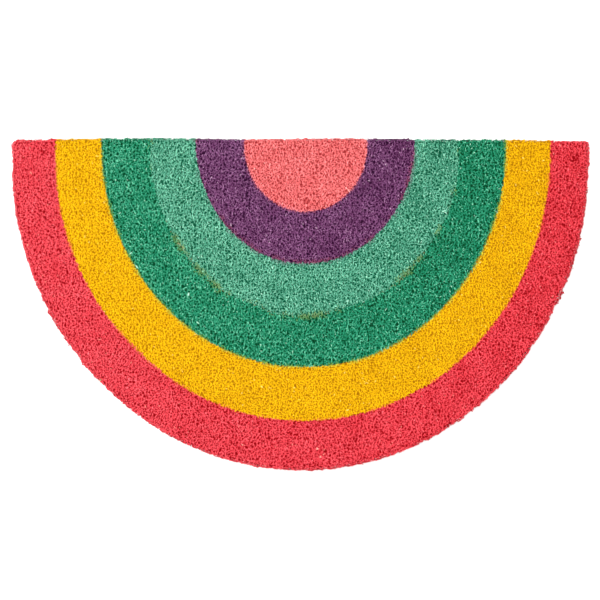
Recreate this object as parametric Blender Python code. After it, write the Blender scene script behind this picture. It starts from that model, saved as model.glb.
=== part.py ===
"""A half-round coir doormat printed with a rainbow: arches of colour round a half-disc.

The mat is one piece, cut coir pile standing in its own flat backing, and it lies flat.
X runs along the straight edge, +Y points from the round edge to the straight edge and +Z is up.
The origin is the middle of the mat's plan, on the underside. Lengths are in metres.
"""

import math
from collections import namedtuple

import bmesh
import bpy
from mathutils import Vector, geometry, noise

MM = 0.001

# What the Delaunay mesher keeps, the triangles inside the rim, and how near two points are one.
INSIDE_RIM = 1
SAME_POINT = 0.0001 * MM

# Driving sizes of the plan. The straight edge lies on Y = 0 until the mat is centred.
THICKNESS = 15.0 * MM
CORNER_RADIUS = 5.0 * MM
RIM_PITCH = 5.0 * MM
SURFACE_PITCH = 13.0 * MM
SURFACE_CLEARANCE = 6.0 * MM

# Each colour ends at an arch: half an ellipse below two short upright legs that stand on the straight edge.
# leg is the legs' height, half_width and depth are the ellipse's, and colour is what the eye sees, as sRGB.
Arch = namedtuple("Arch", "name centre_x leg half_width depth colour")
ARCHES = (
    Arch("pink", 7.1 * MM, 7.5 * MM, 74.3 * MM, 79.5 * MM, (236, 106, 106)),
    Arch("purple", 6.6 * MM, 1.7 * MM, 133.5 * MM, 148.6 * MM, (111, 63, 103)),
    Arch("teal", 5.4 * MM, 0.5 * MM, 188.8 * MM, 212.8 * MM, (82, 158, 128)),
    Arch("green", 5.1 * MM, 6.4 * MM, 244.5 * MM, 269.0 * MM, (43, 136, 99)),
    Arch("yellow", 3.4 * MM, 15.6 * MM, 301.1 * MM, 325.6 * MM, (239, 178, 17)),
    Arch("red", 1.5 * MM, 27.5 * MM, 350.3 * MM, 374.2 * MM, (231, 65, 74)),
)
OUTER = ARCHES[-1]
BACKING_COLOUR = (92, 70, 50)
FIBRE_ROUGHNESS = 0.9
BACKING_ROUGHNESS = 0.8
SHARP_ANGLE = math.radians(50)

# The rim from the pile's crown down to the underside. The pile splays out over a backing cut a little smaller.
# ragged is how much of the rim's raggedness a row takes. The crown's own height follows the lumps.
RimRow = namedtuple("RimRow", "height inset ragged")
RIM_ROWS = (
    RimRow(THICKNESS, 3.2 * MM, 0.5),
    RimRow(13.6 * MM, 0.9 * MM, 0.9),
    RimRow(10.5 * MM, 0.0 * MM, 1.0),
    RimRow(2.0 * MM, 1.8 * MM, 0.25),
    RimRow(0.0 * MM, 2.0 * MM, 0.0),
)

# How far the cut edge wanders off the true plan. Bearings go round the arch in degrees, 0 at the left corner
# and 180 at the right one.
RimDrift = namedtuple("RimDrift", "bearing out")
RIM_DRIFT = (
    RimDrift(0, 0.3 * MM),
    RimDrift(10, 1.3 * MM),
    RimDrift(28, -0.2 * MM),
    RimDrift(60, -1.1 * MM),
    RimDrift(90, 0.2 * MM),
    RimDrift(115, 0.7 * MM),
    RimDrift(140, 0.6 * MM),
    RimDrift(152, -0.4 * MM),
    RimDrift(180, -1.2 * MM),
)
EdgeDrift = namedtuple("EdgeDrift", "x out")
EDGE_DRIFT = (
    EdgeDrift(-350 * MM, -1.6 * MM),
    EdgeDrift(-300 * MM, -0.5 * MM),
    EdgeDrift(-260 * MM, 0.4 * MM),
    EdgeDrift(-165 * MM, 1.1 * MM),
    EdgeDrift(-60 * MM, -0.3 * MM),
    EdgeDrift(50 * MM, 0.8 * MM),
    EdgeDrift(150 * MM, -0.5 * MM),
    EdgeDrift(260 * MM, -0.9 * MM),
    EdgeDrift(310 * MM, -2.2 * MM),
    EdgeDrift(350 * MM, -2.6 * MM),
)

# Tufts stand out of the cut edge or are missing from it, most of all on a few worn stretches.
TUFT_LENGTH = 5.5 * MM
TUFT_DEPTH = 1.3 * MM
WornStretch = namedtuple("WornStretch", "bearing half_spread extra_depth")
WORN_STRETCHES = (
    WornStretch(40, 9, 2.2 * MM),
    WornStretch(121, 6, 1.2 * MM),
    WornStretch(147, 9, 1.6 * MM),
)

# Lumps in the top of the pile: where it was sheared a little lower, and tufts that lean together.
SHEAR_LENGTH = 46.0 * MM
SHEAR_DEPTH = 0.9 * MM
LUMP_LENGTH = 15.0 * MM
LUMP_DEPTH = 0.8 * MM
MEAN_RELIEF = 0.25


def interpolate(rows, at):
    """The second column of a table at a value of its first, on straight lines between rows."""
    if at <= rows[0][0]:
        return rows[0][1]
    for low, high in zip(rows, rows[1:]):
        if at <= high[0]:
            share = (at - low[0]) / (high[0] - low[0])
            return low[1] + share * (high[1] - low[1])
    return rows[-1][1]


def bearing_of(point):
    """Degrees round the outer arch, 0 towards the left corner and 180 towards the right."""
    return math.degrees(math.atan2(-point.y - OUTER.leg, OUTER.centre_x - point.x))


def beyond(arch, point):
    """About how far a point lies outside an arch; negative inside it."""
    across = (point.x - arch.centre_x) / arch.half_width
    down = max(-point.y - arch.leg, 0.0) / arch.depth
    return (math.hypot(across, down) - 1.0) * math.sqrt(arch.half_width * arch.depth)


def evenly(start, end, pitch):
    """Values from start up to, but without, end, as close to pitch apart as fits."""
    count = max(round(abs(end - start) / pitch), 1)
    return [start + (end - start) * i / count for i in range(count)]


def straight_edge_xs():
    """Places along the straight edge, right to left, with one at each arch's foot."""
    feet = [a.centre_x + side * a.half_width for a in ARCHES[:-1] for side in (-1, 1)]
    reach = OUTER.half_width - CORNER_RADIUS
    stops = sorted(feet + [OUTER.centre_x - reach, OUTER.centre_x + reach], reverse=True)
    return [x for start, end in zip(stops, stops[1:]) for x in evenly(start, end, RIM_PITCH)]


def corner(side, start, end):
    """The rounded corner at one end of the straight edge, from one angle to another."""
    centre = Vector((OUTER.centre_x + side * (OUTER.half_width - CORNER_RADIUS), -CORNER_RADIUS))
    steps = [math.radians(a) for a in (start, start + (end - start) / 3, start + 2 * (end - start) / 3)]
    directions = [Vector((math.cos(a), math.sin(a))) for a in steps]
    return [(centre + CORNER_RADIUS * d, d) for d in directions]


def leg(side, start, end):
    """The short upright side between a corner and the arch's round part."""
    x = OUTER.centre_x + side * OUTER.half_width
    return [(Vector((x, y)), Vector((side, 0.0))) for y in evenly(start, end, RIM_PITCH)]


def round_edge():
    """The outer arch's half ellipse, left to right."""
    stations = []
    for angle in evenly(math.pi, 2 * math.pi, RIM_PITCH / OUTER.depth):
        across, down = math.cos(angle), math.sin(angle)
        point = Vector((OUTER.centre_x + OUTER.half_width * across, OUTER.depth * down - OUTER.leg))
        stations.append((point, Vector((across / OUTER.half_width, down / OUTER.depth)).normalized()))
    return stations


def rim_stations():
    """Points round the true plan with their outward directions, anticlockwise from the right corner."""
    straight = [(Vector((x, 0.0)), Vector((0.0, 1.0))) for x in straight_edge_xs()]
    return (
        straight
        + corner(-1, 90, 180)
        + leg(-1, -CORNER_RADIUS, -OUTER.leg)
        + round_edge()
        + leg(1, -OUTER.leg, -CORNER_RADIUS)
        + corner(1, 0, 90)
    )


def tuft_depth(point):
    """How far tufts stand in or out of the cut edge near a point."""
    bearing = bearing_of(point)
    worn = sum(
        s.extra_depth * math.exp(-(((bearing - s.bearing) / s.half_spread) ** 2))
        for s in WORN_STRETCHES
    )
    return TUFT_DEPTH + worn


def rim_ring(stations, row):
    """One level of the rim: the plan with its drift and raggedness, drawn in by the row's inset."""
    ring = []
    for point, outward in stations:
        straight = max(outward.y, 0.0)
        out = straight * interpolate(EDGE_DRIFT, point.x)
        out += (1.0 - straight) * interpolate(RIM_DRIFT, bearing_of(point))
        tuft = noise.noise(Vector((point.x, point.y, row.height)) / TUFT_LENGTH)
        out += row.ragged * tuft_depth(point) * tuft - row.inset
        ring.append((point + out * outward).to_3d() + Vector((0.0, 0.0, row.height)))
    return ring


def pile_height(x, y):
    """The height of the pile's lumpy top; its highest lumps reach the full thickness."""
    shear = max(MEAN_RELIEF - noise.noise(Vector((x, y, 0.0)) / SHEAR_LENGTH), 0.0)
    lump = max(MEAN_RELIEF - noise.noise(Vector((x, y, 1.0)) / LUMP_LENGTH), 0.0)
    return THICKNESS - SHEAR_DEPTH * shear - LUMP_DEPTH * lump


def foot_index(ring, x):
    """The ring's point on the straight edge that stands at an arch's foot."""
    return min(range(len(ring)), key=lambda i: abs(ring[i].x - x) + abs(ring[i].y))


def arch_line(arch, ring):
    """An inner arch as the ring indices of its two feet and the points between them, left to right."""
    left, right = arch.centre_x - arch.half_width, arch.centre_x + arch.half_width
    points = []
    for angle in evenly(math.pi, 2 * math.pi, SURFACE_PITCH / arch.depth) + [2 * math.pi]:
        across, down = math.cos(angle), math.sin(angle)
        points.append(Vector((arch.centre_x + arch.half_width * across, arch.depth * down - arch.leg)))
    edge = min(ring[foot_index(ring, left)].y, ring[foot_index(ring, right)].y)
    points = [p for p in points if p.y < edge - RIM_PITCH / 2]
    return foot_index(ring, left), points, foot_index(ring, right)


def surface_points():
    """A staggered field of points on the mat, clear of its rim and of the lines between colours."""
    row_pitch = SURFACE_PITCH * math.sin(math.radians(60))
    reach = math.ceil(OUTER.half_width / SURFACE_PITCH)
    points = []
    for row in range(1, math.ceil((OUTER.leg + OUTER.depth) / row_pitch)):
        shift = 0.5 * (row % 2)
        for column in range(-reach, reach + 1):
            point = Vector(((column + shift) * SURFACE_PITCH, -row * row_pitch))
            inside = beyond(OUTER, point) < -SURFACE_CLEARANCE - RIM_ROWS[0].inset
            if inside and all(abs(beyond(arch, point)) > SURFACE_CLEARANCE for arch in ARCHES[:-1]):
                points.append(point)
    return points


def crown_surface(bm, ring, station):
    """The top of the pile inside its crown ring, meshed along the lines between the colours."""
    points = [p.to_2d() for p in ring]
    edges = [(i, (i + 1) % len(ring)) for i in range(len(ring))]
    for arch in ARCHES[:-1]:
        left, between, right = arch_line(arch, ring)
        chain = [left, *range(len(points), len(points) + len(between)), right]
        points += between
        edges += list(zip(chain, chain[1:]))
    points += surface_points()
    found, _, faces, sources, _, _ = geometry.delaunay_2d_cdt(points, edges, [], INSIDE_RIM, SAME_POINT)
    vertices = []
    for point, source in zip(found, sources):
        vertex = bm.verts.new((point.x, point.y, pile_height(point.x, point.y)))
        on_ring = [i for i in source if i < len(ring)]
        vertex[station] = on_ring[0] + 1 if on_ring else 0
        vertices.append(vertex)
    for face in faces:
        bm.faces.new([vertices[i] for i in face])


def colour_faces(bm, backing_slot):
    """Gives each face the colour of the arch it lies in, and the backing and underside their own."""
    for face in bm.faces:
        middle = face.calc_center_median()
        if middle.z < RIM_ROWS[-2].height:
            face.material_index = backing_slot
            continue
        inside = [i for i, arch in enumerate(ARCHES) if beyond(arch, middle) < 0.0]
        face.material_index = inside[0] if inside else len(ARCHES) - 1


def linear(channel):
    """One sRGB channel, 0 to 255, as linear light."""
    share = channel / 255
    return share / 12.92 if share <= 0.04045 else ((share + 0.055) / 1.055) ** 2.4


def matt_material(name, colour, roughness):
    """A dull finish in one colour."""
    material = bpy.data.materials.new(name)
    material.use_nodes = True
    shader = material.node_tree.nodes["Principled BSDF"]
    shader.inputs["Base Color"].default_value = (*(linear(c) for c in colour), 1.0)
    shader.inputs["Roughness"].default_value = roughness
    shader.inputs["Metallic"].default_value = 0.0
    return material


def centre_plan(bm):
    """Moves the mesh so that the middle of its plan lies on the origin."""
    for axis in (0, 1):
        low = min(v.co[axis] for v in bm.verts)
        high = max(v.co[axis] for v in bm.verts)
        for vertex in bm.verts:
            vertex.co[axis] -= (low + high) / 2


def build_mat():
    """The whole mat: its crown, its rim extruded down row by row, and its flat underside."""
    stations = rim_stations()
    rings = [rim_ring(stations, row) for row in RIM_ROWS]
    bm = bmesh.new()
    station = bm.verts.layers.int.new("station")
    crown_surface(bm, rings[0], station)
    rim = [e for e in bm.edges if e.is_boundary]
    for ring in rings[1:]:
        extruded = bmesh.ops.extrude_edge_only(bm, edges=rim)["geom"]
        rim = [g for g in extruded if isinstance(g, bmesh.types.BMEdge) and g.is_boundary]
        for vertex in (g for g in extruded if isinstance(g, bmesh.types.BMVert)):
            vertex.co = ring[vertex[station] - 1]
    bmesh.ops.contextual_create(bm, geom=rim)
    colour_faces(bm, len(ARCHES))
    bmesh.ops.triangulate(bm, faces=bm.faces[:])
    bmesh.ops.recalc_face_normals(bm, faces=bm.faces[:])
    centre_plan(bm)
    bm.verts.layers.int.remove(station)

    mesh = bpy.data.meshes.new("mat")
    bm.to_mesh(mesh)
    bm.free()
    mesh.shade_smooth()
    mesh.set_sharp_from_angle(angle=SHARP_ANGLE)
    for arch in ARCHES:
        mesh.materials.append(matt_material(f"coir_{arch.name}", arch.colour, FIBRE_ROUGHNESS))
    mesh.materials.append(matt_material("backing", BACKING_COLOUR, BACKING_ROUGHNESS))
    mat = bpy.data.objects.new("mat", mesh)
    bpy.context.scene.collection.objects.link(mat)
    return mat


for leftover in list(bpy.data.objects):
    bpy.data.objects.remove(leftover, do_unlink=True)
build_mat()
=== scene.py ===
"""The looks of a half-round coir doormat printed with a rainbow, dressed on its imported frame.

Lengths are in metres in the frame's own axes: X along the straight edge, +Y towards it, +Z up. Places of
the plan have their origin in the middle of the straight edge's line.
A body of packed coir on its backing stands for the mat's solid. Fibre ends stand on it: each shape of
fibre is modelled once by hand and copied over the top and round the cut edge, and each copy takes the dye
of the printed arch that it stands in.
"""

import logging
import math
from dataclasses import dataclass
from enum import Enum, IntEnum
from typing import Any, Callable, Union

import bpy
import numpy as np
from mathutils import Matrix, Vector, noise
from mathutils.bvhtree import BVHTree
from mathutils.kdtree import KDTree


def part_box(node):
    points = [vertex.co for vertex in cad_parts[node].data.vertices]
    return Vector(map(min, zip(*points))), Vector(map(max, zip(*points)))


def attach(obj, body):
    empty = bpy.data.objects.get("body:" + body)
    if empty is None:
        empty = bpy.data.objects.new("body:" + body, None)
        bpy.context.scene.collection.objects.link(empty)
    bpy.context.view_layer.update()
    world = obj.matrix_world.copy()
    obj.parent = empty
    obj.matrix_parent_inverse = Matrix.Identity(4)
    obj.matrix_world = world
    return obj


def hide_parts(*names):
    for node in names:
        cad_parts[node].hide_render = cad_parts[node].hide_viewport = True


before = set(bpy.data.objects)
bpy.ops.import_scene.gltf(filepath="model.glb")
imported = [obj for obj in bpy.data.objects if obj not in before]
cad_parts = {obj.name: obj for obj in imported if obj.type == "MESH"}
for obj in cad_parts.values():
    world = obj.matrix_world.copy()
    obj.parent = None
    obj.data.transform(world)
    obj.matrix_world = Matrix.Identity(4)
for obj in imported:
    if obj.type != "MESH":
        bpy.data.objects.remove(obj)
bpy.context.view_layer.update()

logging.basicConfig(level=logging.INFO, format="%(message)s")
log = logging.getLogger("doormat")

MM = 0.001
SEED = 20
NODE = "mat"
BODY = "root"
FIBRE_MAP = "OFBake"
UP = np.array((0.0, 0.0, 1.0))
LEVEL = np.array((1.0, 1.0, 0.0))
MOST_REFLECTED = 0.96

# Where the plan's own origin lies in the frame.
PLAN_X = -1.287 * MM
PLAN_Y = 200.586 * MM

Rgb = tuple[int, int, int]
Colour = tuple[float, float, float, float]
Operand = Union["Shade", float]
Array = np.ndarray
PlaceAndWay = tuple[Vector, Vector]


def linear(colour: Rgb, strength: float = 1.0) -> Colour:
    """Turns a colour as the eye reads it into linear light.

    Args:
        colour: The three sRGB channels, 0 to 255.
        strength: A factor on the linear light.

    Returns:
        Linear red, green and blue, and full alpha.
    """
    shares = [channel / 255 for channel in colour]
    light = [s / 12.92 if s <= 0.04045 else ((s + 0.055) / 1.055) ** 2.4 for s in shares]
    red, green, blue = (min(share * strength, MOST_REFLECTED) for share in light)
    return (red, green, blue, 1.0)


def linked(name: str, data: bpy.types.ID) -> bpy.types.Object:
    """Makes an object from its data and puts it in the scene.

    Args:
        name: The object's name.
        data: Its mesh, camera or light.

    Returns:
        The object.
    """
    made = bpy.data.objects.new(name, data)
    bpy.context.scene.collection.objects.link(made)
    return made


def operator(operation: str, swapped: bool = False) -> Callable[["Shade", Operand], "Shade"]:
    """Makes an operator for shades out of a Math node.

    Args:
        operation: What the node does with its two values.
        swapped: Whether the other value comes first.

    Returns:
        The operator, as a method of Shade.
    """

    def work(shade: "Shade", other: Operand) -> "Shade":
        """The node's result for a shade and another value."""
        first, second = (other, shade) if swapped else (shade, other)
        return shade.graph.shade("Math", {0: first, 1: second}, operation=operation)

    return work


class Shade:
    """A shader socket that works in Python sums, adding its Math nodes as it goes."""

    __add__ = __radd__ = operator("ADD")
    __sub__ = operator("SUBTRACT")
    __rsub__ = operator("SUBTRACT", swapped=True)
    __mul__ = operator("MULTIPLY")
    __truediv__ = operator("DIVIDE")
    __pow__ = operator("POWER")
    at_least = operator("MAXIMUM")

    def __init__(self, graph: "ShaderGraph", socket: bpy.types.NodeSocket) -> None:
        """Wraps an output socket of one of the graph's nodes."""
        self.graph = graph
        self.socket = socket

    def rise(self, start: Operand, end: Operand) -> "Shade":
        """A soft step that leaves 0 at the start and reaches 1 at the end."""
        sockets = {"Value": self, "From Min": start, "From Max": end, "To Min": 0.0, "To Max": 1.0}
        return self.graph.shade("MapRange", sockets, "Result", interpolation_type="SMOOTHSTEP")


class ShaderGraph:
    """The nodes of one material."""

    def __init__(self, name: str) -> None:
        """Starts a material with a Principled shader.

        Args:
            name: The material's name.
        """
        self.material = bpy.data.materials.new(name)
        self.material.use_nodes = True
        self.tree = self.material.node_tree
        self.shader = self.tree.nodes["Principled BSDF"]

    def _feed(self, node: bpy.types.Node, sockets: dict[Any, Any]) -> None:
        """Links a node's inputs to shades, or sets them to plain values.

        Args:
            node: The node.
            sockets: The values or shades, by the input's name or number.
        """
        for name, value in sockets.items():
            if isinstance(value, Shade):
                self.tree.links.new(value.socket, node.inputs[name])
            else:
                node.inputs[name].default_value = value

    def finished(self, sockets: dict[str, Any]) -> bpy.types.Material:
        """The material, once the shader has these inputs."""
        self._feed(self.shader, sockets)
        return self.material

    def shade(self, kind: str, sockets: dict[Any, Any], output: int | str = 0, **settings: Any) -> Shade:
        """Adds one node and takes one of its outputs.

        Args:
            kind: The node's type, without the ShaderNode that starts it.
            sockets: Values or shades for its inputs, by name or number.
            output: The output's name or number.
            settings: The node's settings, set first; stops are a ramp's places and colours.

        Returns:
            The output.
        """
        made = self.tree.nodes.new(f"ShaderNode{kind}")
        for name, value in settings.items():
            if name == "stops":
                self._set_stops(made.color_ramp, value)
            else:
                setattr(made, name, value)
        self._feed(made, sockets)
        return Shade(self, made.outputs[output])

    def _set_stops(self, ramp: bpy.types.ColorRamp, stops: list[tuple[float, Colour]]) -> None:
        """Gives a ramp its stops, from left to right."""
        ramp.elements[0].position, ramp.elements[1].position = stops[0][0], stops[-1][0]
        ramp.elements[0].color, ramp.elements[-1].color = stops[0][1], stops[-1][1]
        for place, colour in stops[1:-1]:
            ramp.elements.new(place).color = colour

    def split(self, vector: Shade) -> tuple[Shade, ...]:
        """The three parts of a vector."""
        made = self.shade("SeparateXYZ", {0: vector}).socket.node
        return tuple(Shade(self, part) for part in made.outputs)

    def joined(self, x: Operand, y: Operand, z: Operand) -> Shade:
        """A vector from its three parts."""
        return self.shade("CombineXYZ", {0: x, 1: y, 2: z})

    def place(self) -> Shade:
        """The point on the object, in metres."""
        return self.shade("TexCoord", {}, "Object")

    def fibre_place(self) -> Shade:
        """The point on the fibres' own map."""
        return self.shade("UVMap", {}, "UV", uv_map=FIBRE_MAP)

    def ramp(self, value: Shade, stops: list[tuple[float, Colour]]) -> Shade:
        """The colour of a ramp at a value."""
        return self.shade("ValToRGB", {0: value}, stops=stops)

    def grain(self, at: Shade, scale: float, detail: float = 2.0) -> Shade:
        """Soft noise from 0 to 1, with so many cells to a unit of length."""
        return self.shade("TexNoise", {"Vector": at, "Scale": scale, "Detail": detail, "Roughness": 0.6})

    def mixed(self, share: Operand, first: Any, second: Any) -> Shade:
        """A colour between two, the first at a share of 0 and the second at 1."""
        return self.shade("Mix", {0: share, 6: first, 7: second}, 2, data_type="RGBA")

    def scaled(self, colour: Shade, factor: Operand) -> Shade:
        """A colour made lighter or darker by a factor."""
        return self.shade("VectorMath", {0: colour, "Scale": factor}, operation="SCALE")

    def bump(self, height: Shade, depth: float) -> Shade:
        """A surface normal from a height of 0 to 1, which stands depth metres out at 1."""
        return self.shade("Bump", {"Height": height, "Distance": depth, "Strength": 1.0})


class Dye(Enum):
    """The printed colours, from the middle of the rainbow outwards."""

    PINK = "pink"
    PURPLE = "purple"
    TEAL = "teal"
    GREEN = "green"
    YELLOW = "yellow"
    RED = "red"


DYES = list(Dye)


@dataclass(frozen=True)
class Arch:
    """Half an ellipse below two short upright legs on the straight edge, where one colour ends."""

    centre_x: float
    leg: float
    half_width: float
    depth: float

    def _shares(self, x: Array, y: Array) -> tuple[Array, Array]:
        """Plan places as shares of the ellipse's half width and depth."""
        return (x - self.centre_x) / self.half_width, np.maximum(-y - self.leg, 0.0) / self.depth

    def beyond(self, x: Array, y: Array) -> Array:
        """About how far plan places lie outside the arch, negative inside it."""
        across, down = self._shares(x, y)
        return (np.hypot(across, down) - 1.0) * math.sqrt(self.half_width * self.depth)

    def bearing(self, x: Array, y: Array) -> Array:
        """Bearings of plan places round the arch, in degrees from its right foot."""
        across, down = self._shares(x, y)
        return np.degrees(np.arctan2(down, across))

    def beyond_shade(self, x: Shade, y: Shade) -> Shade:
        """The distance outside the arch as shader maths, from a point in the frame's axes."""
        across = (x - (self.centre_x + PLAN_X)) / self.half_width
        down = (PLAN_Y - self.leg - y).at_least(0.0) / self.depth
        return ((across * across + down * down) ** 0.5 - 1.0) * math.sqrt(self.half_width * self.depth)


ARCHES = {
    Dye.PINK: Arch(7.4 * MM, 7.5 * MM, 74.6 * MM, 80.2 * MM),
    Dye.PURPLE: Arch(7.0 * MM, 1.7 * MM, 133.5 * MM, 149.3 * MM),
    Dye.TEAL: Arch(5.4 * MM, 0.5 * MM, 188.8 * MM, 213.2 * MM),
    Dye.GREEN: Arch(5.2 * MM, 6.4 * MM, 246.4 * MM, 270.8 * MM),
    Dye.YELLOW: Arch(3.6 * MM, 15.6 * MM, 301.4 * MM, 326.1 * MM),
    Dye.RED: Arch(1.5 * MM, 27.5 * MM, 350.3 * MM, 374.2 * MM),
}
OUTER = ARCHES[Dye.RED]


@dataclass(frozen=True)
class Bulge:
    """A stretch round an arch where something swells, or shrinks if negative.

    The bearing runs in degrees from 0 at the arch's right foot over 90 at its crown to 180 at the left.
    """

    bearing: float
    spread: float
    out: float


def bulges(unit_size: float, *rows: tuple[float, float, float]) -> tuple[Bulge, ...]:
    """Bulges from rows of bearing, spread and swelling, the last one in units of a size."""
    return tuple(Bulge(bearing, spread, out * unit_size) for bearing, spread, out in rows)


def strays(bulges_there: tuple[Bulge, ...], bearing: Array) -> Array:
    """What bulges add up to at bearings in degrees."""
    out = np.zeros_like(bearing)
    for bulge in bulges_there:
        out += bulge.out * np.exp(-(((bearing - bulge.bearing) / bulge.spread) ** 2))
    return out


@dataclass(frozen=True)
class Seam:
    """Where one colour meets the next outwards: how the line strays and wanders, and how the inks overlap.

    Patches say where round the arch the inks overlap, on top of patch_base, and where any bare line shows.
    """

    wander: float
    overlap: float
    strays: tuple[Bulge, ...]
    patch_base: float = 0.4
    patches: tuple[Bulge, ...] = ()
    patchiness: float = 0.8
    wander_length: float = 6.0 * MM
    bare_line: float = 0.0
    bare_share: float = 0.12


SEAMS = {
    Dye.PINK: Seam(0.7 * MM, 3.2 * MM, bulges(MM, (25, 20, 0.4)), 0.7),
    Dye.PURPLE: Seam(
        0.6 * MM,
        5.4 * MM,
        bulges(MM, (25, 15, 0.4), (60, 20, 0.9), (110, 15, 0.5), (90, 6, -0.8)),
        0.25,
        bulges(1.0, (10, 8, 0.5), (27, 10, 0.6), (93, 8, 0.9), (118, 6, 0.6), (160, 8, 0.4)),
    ),
    Dye.TEAL: Seam(
        0.8 * MM,
        5.6 * MM,
        bulges(
            MM,
            (0, 5, -1.8),
            (22, 13, 3.8),
            (52, 11, 1.8),
            (71, 6, -1.3),
            (95, 9, 1.2),
            (110, 5, -2.2),
            (121, 6, 1.7),
            (138, 10, 0.8),
            (180, 6, -2.8),
        ),
        -0.4,
        bulges(
            1.0,
            (50, 8, 0.9),
            (88, 12, 1.4),
            (105, 5, 0.5),
            (124, 4, 0.8),
            (132, 6, 1.0),
            (142, 6, 1.1),
        ),
        bare_line=3.2 * MM,
    ),
    Dye.GREEN: Seam(
        0.6 * MM,
        3.6 * MM,
        bulges(MM, (0, 6, -0.8), (45, 25, 1.5), (88, 8, -0.6), (70, 6, 0.7)),
        0.7,
        patchiness=0.85,
    ),
    Dye.YELLOW: Seam(
        0.7 * MM,
        2.8 * MM,
        bulges(MM, (60, 25, 1.1), (132, 12, -2.4), (180, 6, -1.0)),
        patchiness=0.6,
        wander_length=7.0 * MM,
    ),
}

# Undyed fibre, deep and pale: natural coir, and coir that the inks beside it have stained.
COIR = ((112, 84, 56), (196, 180, 128))
STAINED_COIR = ((104, 100, 68), (142, 142, 104))


@dataclass(frozen=True)
class FibreFinish:
    """Dull dyed coir: its tones from deepest to palest, its overlaps with its neighbours, and paler fibre.

    Across a fibre's map lie its tone, then the inner and the outer overlap, then fibre that took little
    dye, then bare fibre. Up it lies the height in the pile, from the backing to the tips, so the dye fades
    out where it never sank in. Contrast and dark_tail say how a dye's fibres differ in tone.
    """

    tones: tuple[Rgb, Rgb, Rgb, Rgb, Rgb]
    overlap_in: Rgb
    overlap_out: Rgb
    washed: Rgb
    strength: float = 1.0
    bare: tuple[Rgb, Rgb] = COIR
    # root_shade, shade_from and shade_to set the painted shade that darkens each fibre towards its root.
    root_shade: float = 0.57
    pale_share: float = 0.01
    contrast: float = 1.0
    dark_tail: float = 0.07
    foot_colour: Rgb = (168, 124, 74)
    foot: float = 0.3
    foot_wave: float = 0.3
    foot_blend: float = 0.06
    foot_tones_across: float = 60.0
    foot_waves_across: float = 35.0
    shade_from: float = -0.15
    shade_to: float = 0.85
    streaks_across: float = 90.0
    streaks_up: float = 5.0
    streak_depth: float = 0.3
    roughness: float = 0.72
    roughness_spread: float = 0.2
    shine: float = 0.1

    TONE_END = 0.72
    IN_PLACE = 0.78
    OUT_PLACE = 0.84
    PALE_PLACE = 0.89
    BARE_START = 0.93
    BARE_END = 0.985
    STRIP = 0.014

    def _stops(self) -> list[tuple[float, Colour]]:
        """Lists what lies across the map.

        Returns:
            The places and colours.
        """
        tone_step = self.TONE_END / (len(self.tones) - 1)
        places = [(i * tone_step, tone) for i, tone in enumerate(self.tones)]
        middles = (self.IN_PLACE, self.OUT_PLACE, self.PALE_PLACE)
        for place, ink in zip(middles, (self.overlap_in, self.overlap_out, self.washed)):
            places += [(place - self.STRIP, ink), (place + self.STRIP, ink)]
        places += [(self.BARE_START, self.bare[0]), (1.0, self.bare[1])]
        return [(place, linear(colour, self.strength)) for place, colour in places]

    def material(self, name: str) -> bpy.types.Material:
        """Builds the fibre's material.

        Args:
            name: The material's name.

        Returns:
            The material.
        """
        graph = ShaderGraph(name)
        across, up, _ = graph.split(graph.fibre_place())
        streak = graph.grain(graph.joined(across * self.streaks_across, up * self.streaks_up, 0.0), 1.0)
        dyed = graph.ramp(across, self._stops())
        foot_tone = graph.grain(graph.joined(across * self.foot_tones_across, 0.0, 3.0), 1.0)
        undyed = graph.ramp(foot_tone, [(0.3, linear(self.bare[0])), (0.7, linear(self.foot_colour))])
        wave = graph.grain(graph.joined(across * self.foot_waves_across, 0.0, 7.0), 1.0) - 0.5
        line = self.foot + wave * self.foot_wave
        colour = graph.mixed(up.rise(line - self.foot_blend, line + self.foot_blend), undyed, dyed)
        # Painted shade: each fibre's colour darkens from its tip down to root_shade at its root, where the
        # pile would shade it.
        light = up.rise(self.shade_from, self.shade_to) * (1.0 - self.root_shade) + self.root_shade
        light = light * (streak * self.streak_depth + (1.0 - self.streak_depth / 2))
        return graph.finished(
            {
                "Base Color": graph.scaled(colour, light),
                "Roughness": streak * self.roughness_spread + self.roughness,
                "Specular IOR Level": self.shine,
            }
        )


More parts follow.
